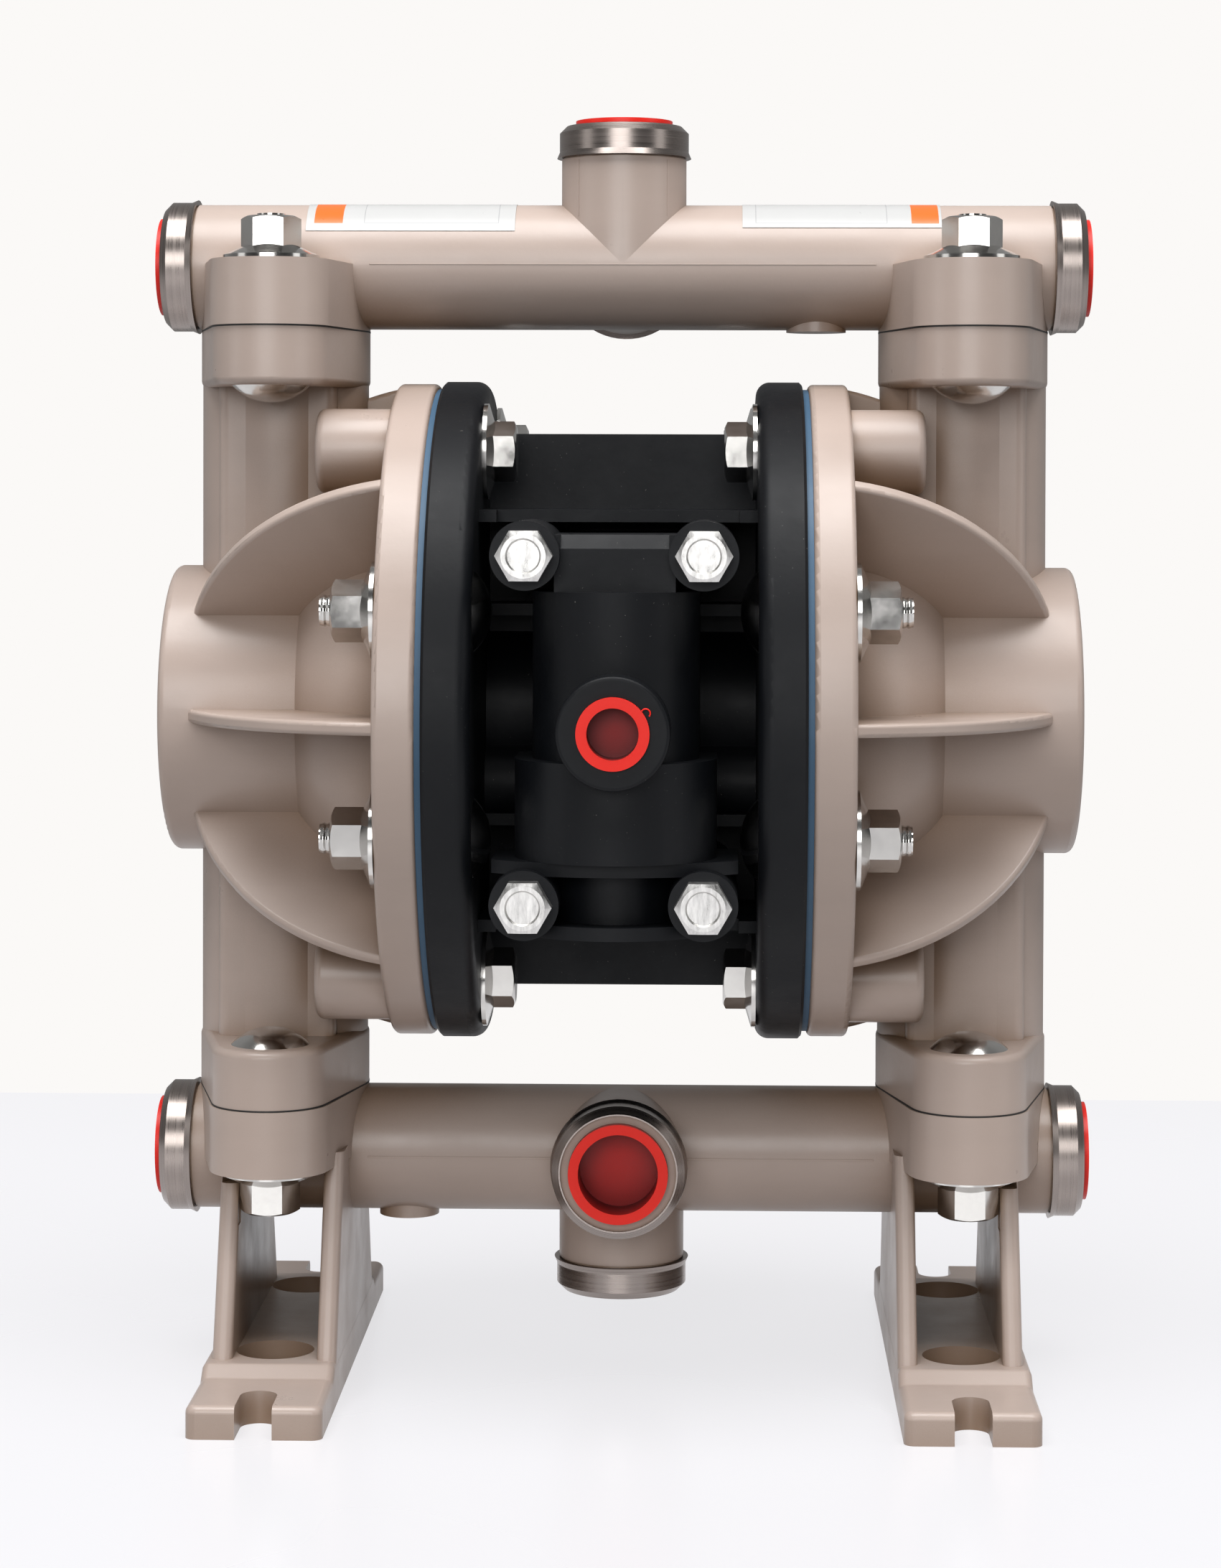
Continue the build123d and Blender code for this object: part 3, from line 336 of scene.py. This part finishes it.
bpy.context.scene.view_settings.view_transform = "Standard"
placeCamera()
makeWorld()
makeFloor()
lampAim = (0, 0, 0.15)
lamps = {"top": {"place": (0, -0.30, 1.1), "width": 1.1, "height": 0.6, "power": 15},
         "left": {"place": (-1.1, -0.45, 0.45), "width": 0.4, "height": 0.9, "power": 1.2},
         "right": {"place": (1.1, -0.45, 0.45), "width": 0.4, "height": 0.9, "power": 1.5},
         "front": {"place": (-0.15, -1.5, 0.55), "width": 0.9, "height": 0.6, "power": 8.5}}
for lampName, lamp in lamps.items():
    addLight(lampName, lamp, lampAim)
print("stage and light done")

# finishes of the CAD nodes
# taupe: painted shade, warm dark brown, in recesses and under the manifold within 34 mm
taupe = plasticLook("taupePlastic", (0.50, 0.402, 0.352), (0.475, 0.38, 0.332), 0.34,
                    paintedShade=(0.25, 0.16, 0.10), reach=0.034)
black = plasticLook("blackPlastic", (0.0055, 0.0062, 0.0080), (0.0035, 0.0042, 0.0056), 0.48, lift=0.08,
                    specular=0.20, dust=0.5, edgeHighlight=0.06)
rubber = plasticLook("sealRubber", (0.02, 0.02, 0.02), (0.012, 0.012, 0.012), 0.6)
blue = plasticLook("diaphragmBlue", (0.045, 0.11, 0.19), (0.035, 0.09, 0.16), 0.55)
white = plasticLook("ballWhite", (0.80, 0.80, 0.78), (0.76, 0.76, 0.74), 0.3)
cream = plasticLook("seatCream", (0.58, 0.52, 0.44), (0.54, 0.48, 0.40), 0.4)
# red plugs: painted shade, dark red, inside the plug holes and other recesses within 22 mm
red = plasticLook("plugRed", (0.97, 0.022, 0.011), (0.93, 0.018, 0.009), 0.38, lift=0.03, specular=0.32,
                  edgeHighlight=0.2, paintedShade=(0.10, 0.004, 0.006), reach=0.022)
steel = steelLook("fastenerSteel", (0.66, 0.645, 0.62), 0.15)
struck = struckLook("struckSteel", (0.78, 0.77, 0.75), 0.30)
band = bandLook("bandSteel", (0.34, 0.295, 0.272), 0.27)
ground = steelLook("rodSteel", (0.62, 0.62, 0.62), 0.2, stretch=(8, 1, 1))
brass = steelLook("sleeveBrass", (0.70, 0.50, 0.20), 0.3)
alloy = steelLook("plateAlloy", (0.66, 0.66, 0.68), 0.34)
slotLooks = {"fluid_plastic": taupe, "body_plastic": black, "seal_rubber": rubber, "diaphragm_rubber": blue,
             "ball_plastic": white, "seat_plastic": cream, "bushing_plastic": cream, "plug_plastic": red,
             "fastener_steel": steel, "band_steel": band, "rod_steel": ground, "sleeve_brass": brass,
             "plate_aluminium": alloy}
ownLooks = {"valve_block_bolts": struck}
for part in frame["record"]["subparts"]:
    node = frame["nodes"][part["node"]]
    node.data.materials.clear()
    node.data.materials.append(ownLooks.get(part["node"], slotLooks[part["material_slot"]]))
print("finishes set")


# small pieces
def clearSelection():
    bpy.ops.object.select_all(action="DESELECT")


def editMode(on=True):
    bpy.ops.object.mode_set(mode="EDIT" if on else "OBJECT")


def pick(piece, test, faces=False):
    editMode(True)
    bpy.ops.mesh.select_mode(type="FACE" if faces else "VERT")
    bpy.ops.mesh.select_all(action="DESELECT")
    editMode(False)
    for element in (piece.data.polygons if faces else piece.data.vertices):
        element.select = test(element.center if faces else element.co)
    editMode(True)


def settle(piece, name, look, body):
    editMode(False)
    clearSelection()
    piece.select_set(True)
    bpy.context.view_layer.objects.active = piece
    bpy.ops.object.transform_apply(location=True, rotation=True, scale=True)
    piece.name = name
    piece.data.name = name
    piece.data.materials.clear()
    piece.data.materials.append(look)
    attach(piece, body)
    return piece


def copyTo(piece, name, places, look, body):
    copies = []
    for place in places:
        twin = piece.copy()
        twin.data = piece.data.copy()
        twin.data.transform(place)
        bpy.context.collection.objects.link(twin)
        copies.append(twin)
    bpy.data.objects.remove(piece)
    clearSelection()
    for twin in copies:
        twin.select_set(True)
    bpy.context.view_layer.objects.active = copies[0]
    bpy.ops.object.join()
    return settle(copies[0], name, look, body)


def turned(x, y, z, axis, degrees):
    return Matrix.Translation((x, y, z)) @ Matrix.Rotation(math.radians(degrees), 4, axis)


def raiseRing(rise, scale):
    bpy.ops.mesh.extrude_region_move(TRANSFORM_OT_translate={"value": (0, 0, rise)})
    if scale != 1:
        bpy.ops.transform.resize(value=(scale, scale, 1), center_override=(0, 0, 0))


def boltThread(size):
    clearSelection()
    bpy.ops.mesh.primitive_circle_add(vertices=30, radius=size["valley"], fill_type="NOTHING")
    piece = bpy.context.object
    editMode(True)
    grow = size["crest"] / size["valley"]
    for _ in range(size["turns"]):
        raiseRing(size["pitch"] * 0.4, grow)
        raiseRing(size["pitch"] * 0.15, 1)
        raiseRing(size["pitch"] * 0.4, 1 / grow)
        raiseRing(size["pitch"] * 0.05, 1)
    raiseRing(size["pitch"] * 0.2, 0.86)
    bpy.ops.mesh.edge_face_add()
    pick(piece, lambda point: abs(point.z) < 1e-7)
    bpy.ops.mesh.edge_face_add()
    bpy.ops.mesh.select_all(action="SELECT")
    bpy.ops.mesh.normals_make_consistent(inside=False)
    editMode(False)
    return piece


def portThread(size):
    clearSelection()
    bpy.ops.mesh.primitive_circle_add(vertices=72, radius=size["outer"], fill_type="NOTHING")
    piece = bpy.context.object
    editMode(True)
    shrink = size["crest"] / size["valley"]
    raiseRing(0, size["valley"] / size["outer"])
    for _ in range(size["turns"]):
        raiseRing(size["pitch"] * 0.42, shrink)
        raiseRing(size["pitch"] * 0.10, 1)
        raiseRing(size["pitch"] * 0.42, 1 / shrink)
        raiseRing(size["pitch"] * 0.06, 1)
    raiseRing(0, size["outer"] / size["valley"])
    edge = size["outer"] - 0.00001
    pick(piece, lambda point: math.hypot(point.x, point.y) > edge)
    bpy.ops.mesh.bridge_edge_loops()
    bpy.ops.mesh.select_all(action="SELECT")
    bpy.ops.mesh.normals_make_consistent(inside=False)
    editMode(False)
    return piece


rimThreads = {"circle": 0.0606, "start": 0.0578, "valley": 0.00303, "crest": 0.00322, "pitch": 0.0011,
              "turns": 2, "angles": (22.5, 157.5, 202.5, 337.5)}
places = []
for turn in rimThreads["angles"]:
    y = rimThreads["circle"] * math.cos(math.radians(turn))
    z = axisHeight + rimThreads["circle"] * math.sin(math.radians(turn))
    places += [turned(side * rimThreads["start"], y, z, "Y", side * 90) for side in (-1, 1)]
copyTo(boltThread(rimThreads), "rimBoltThreads", places, steel, "pump")

pipeThreads = {"outer": 0.01075, "valley": 0.01055, "crest": 0.0099, "pitch": 0.0018, "turns": 7,
               "reach": 0.0298, "inset": 0.0012}
inward = pipeThreads["reach"] - pipeThreads["inset"]
places = [turned(0, 0, inletAxis - inward, "X", 0), turned(0, inward, outletAxis, "X", 90)]
copyTo(portThread(pipeThreads), "pipeThreads", places, taupe, "pump")

exhaustThreads = {"outer": 0.00975, "valley": 0.00955, "crest": 0.0090, "pitch": 0.0014, "turns": 9,
                  "mouth": 0.0600, "inset": 0.0010}
places = [turned(0, exhaustThreads["mouth"] - exhaustThreads["inset"], axisHeight, "X", 90)]
copyTo(portThread(exhaustThreads), "exhaustThreads", places, black, "pump")
print("threads made")


def tubeLabel(name, size, look):
    clearSelection()
    middle = (size["left"] + size["right"]) / 2
    bpy.ops.mesh.primitive_cylinder_add(vertices=180, radius=tubeRadius + size["gap"],
                                        depth=size["right"] - size["left"], end_fill_type="NOTHING",
                                        rotation=(0, math.pi / 2, 0))
    piece = bpy.context.object
    bpy.ops.object.transform_apply(rotation=True)
    low, high = math.radians(size["rear"]), math.radians(size["front"])
    pick(piece, lambda point: not low < math.atan2(-point.y, point.z) < high, faces=True)
    bpy.ops.mesh.delete(type="FACE")
    editMode(False)
    piece.location = (middle, 0, outletAxis)
    wall = piece.modifiers.new("paper", "SOLIDIFY")
    wall.thickness = size["paper"]
    wall.offset = 1
    bpy.ops.object.modifier_apply(modifier="paper")
    return settle(piece, name, look, "pump")


leftLabel = {"left": -0.0685, "right": -0.0233, "rear": -36, "front": 58, "gap": 0.00003, "paper": 0.00012}
rightLabel = {"left": 0.0258, "right": 0.0687, "rear": -36, "front": 54, "gap": 0.00003, "paper": 0.00012}
tubeLabel("labelLeft", leftLabel, labelLook("labelLeftPaper", (-0.0668, -0.0606, -0.5, 0.86),
                                            (-0.0560, -0.0268, -0.5, 0.86)))
tubeLabel("labelRight", rightLabel, labelLook("labelRightPaper", (0.0622, 0.0681, -0.5, 0.86),
                                              (0.0286, 0.0570, -0.5, 0.86)))
print("labels made")


def bead(length, width, proud):
    clearSelection()
    bpy.ops.mesh.primitive_cube_add(size=1)
    piece = bpy.context.object
    piece.scale = (length, 2 * proud, width)
    bpy.ops.object.transform_apply(scale=True)
    editMode(True)
    bpy.ops.mesh.select_all(action="SELECT")
    bpy.ops.mesh.bevel(offset=min(width, proud) * 0.45, segments=2, affect="EDGES")
    editMode(False)
    return piece


mouldLines = {"width": 0.0003, "proud": 0.00010, "flange": 0.0545, "neck": 0.0140}
wholeLength = mouldLines["flange"] * 2
places = [Matrix.Translation((0, y, z)) for y, z in ((-tubeRadius, outletAxis), (tubeRadius, inletAxis))]
longBead = bead(wholeLength, mouldLines["width"], mouldLines["proud"])
copyTo(longBead, "mouldLinesLong", places, taupe, "pump")

partLength = mouldLines["flange"] - mouldLines["neck"]
partMiddle = (mouldLines["flange"] + mouldLines["neck"]) / 2
places = [Matrix.Translation((side * partMiddle, y, z)) for side in (-1, 1)
          for y, z in ((tubeRadius, outletAxis), (-tubeRadius, inletAxis))]
shortBead = bead(partLength, mouldLines["width"], mouldLines["proud"])
copyTo(shortBead, "mouldLinesShort", places, taupe, "pump")

neckLines = {"length": 0.0120, "width": 0.0003, "proud": 0.00010, "x": 0.0096, "low": 0.2505}
places = []
neckDepth = math.sqrt(tubeRadius ** 2 - neckLines["x"] ** 2)
neckMiddle = neckLines["low"] + neckLines["length"] / 2
for side in (-1, 1):
    lean = math.atan2(side * neckLines["x"], neckDepth)
    places.append(Matrix.Translation((side * neckLines["x"], -neckDepth, neckMiddle))
                  @ Matrix.Rotation(lean, 4, "Z") @ Matrix.Rotation(math.pi / 2, 4, "Y"))
neckBead = bead(neckLines["length"], neckLines["width"], neckLines["proud"])
copyTo(neckBead, "neckMouldLines", places, taupe, "pump")

chevron = {"length": 0.0024, "width": 0.00035, "proud": 0.00012, "front": -0.0751, "height": 0.1316,
           "lean": 24, "noseAcross": 0.0412}
lean = math.radians(chevron["lean"])
run = chevron["length"] / 2 * math.cos(lean)
rise = chevron["length"] / 2 * math.sin(lean)
front = chevron["front"] + run ** 2 / chevron["noseAcross"]  # the nose falls back from its middle
places = [Matrix.Translation((side * run, front, chevron["height"] + rise))
          @ Matrix.Rotation(-side * lean, 4, "Y") for side in (-1, 1)]
arm = bead(chevron["length"], chevron["width"], chevron["proud"])
copyTo(arm, "portChevron", places, black, "pump")
print("mould marks made")


def plugFlash():
    size = {"thick": 0.00016, "bend": 0.0009, "sweep": 215, "turn": 40, "place": (0.0079, -0.0809, 0.1464)}
    clearSelection()
    bpy.ops.mesh.primitive_circle_add(vertices=10, radius=size["thick"], fill_type="NGON",
                                      location=(size["bend"], 0, 0))
    piece = bpy.context.object
    editMode(True)
    bpy.ops.mesh.select_all(action="SELECT")
    bpy.ops.mesh.spin(steps=14, angle=math.radians(size["sweep"]), center=(0, 0, 0), axis=(0, 1, 0))
    bpy.ops.mesh.select_all(action="SELECT")
    bpy.ops.mesh.normals_make_consistent(inside=False)
    editMode(False)
    piece.data.transform(Matrix.Translation((-size["bend"], 0, 0)))
    piece.data.transform(Matrix.Rotation(math.radians(size["turn"]), 4, "Y"))
    piece.location = size["place"]
    return settle(piece, "plugFlash", red, "air_inlet_plug")


plugFlash()
print("plug flash made")


# the shadow in the gap between a cap's ear and the manifold's flange, painted as one thin dark wall round
# the outline: painted shade
def jointShadowWall(size):
    clearSelection()
    discs = []
    for y, radius in ((0, size["waist"]), (-size["offset"], size["nose"]), (size["offset"], size["nose"])):
        bpy.ops.mesh.primitive_cylinder_add(vertices=72, radius=radius, depth=size["thick"],
                                            location=(0, y, 0))
        discs.append(bpy.context.object)
    piece = bpy.context.object
    for disc in discs:
        disc.select_set(True)
    bpy.ops.object.join()
    bpy.ops.object.transform_apply(location=True)
    editMode(True)
    bpy.ops.mesh.select_all(action="SELECT")
    bpy.ops.mesh.convex_hull()
    pick(piece, lambda point: abs(point.z) > size["thick"] * 0.45, faces=True)
    bpy.ops.mesh.delete(type="FACE")
    bpy.ops.mesh.select_all(action="SELECT")
    bpy.ops.mesh.normals_make_consistent(inside=False)
    editMode(False)
    wall = piece.modifiers.new("wall", "SOLIDIFY")
    wall.thickness = size["deep"]
    wall.offset = -1
    bpy.ops.object.modifier_apply(modifier="wall")
    return piece


seams = {"waist": 0.01845, "nose": 0.01242, "offset": 0.0273, "thick": 0.00035, "deep": 0.0004,
         "column": 0.074, "rise": 0.0824}
seamMiddle = seams["rise"] - seams["thick"] / 2
places = [Matrix.Translation((side * seams["column"], 0, axisHeight + rise * seamMiddle))
          for side in (-1, 1) for rise in (-1, 1)]
# the dark wall takes the seal rubber finish but stands where there is only the joint's shadow: painted
# shade
copyTo(jointShadowWall(seams), "jointShadowWalls", places, rubber, "pump")
print("joint seams made")
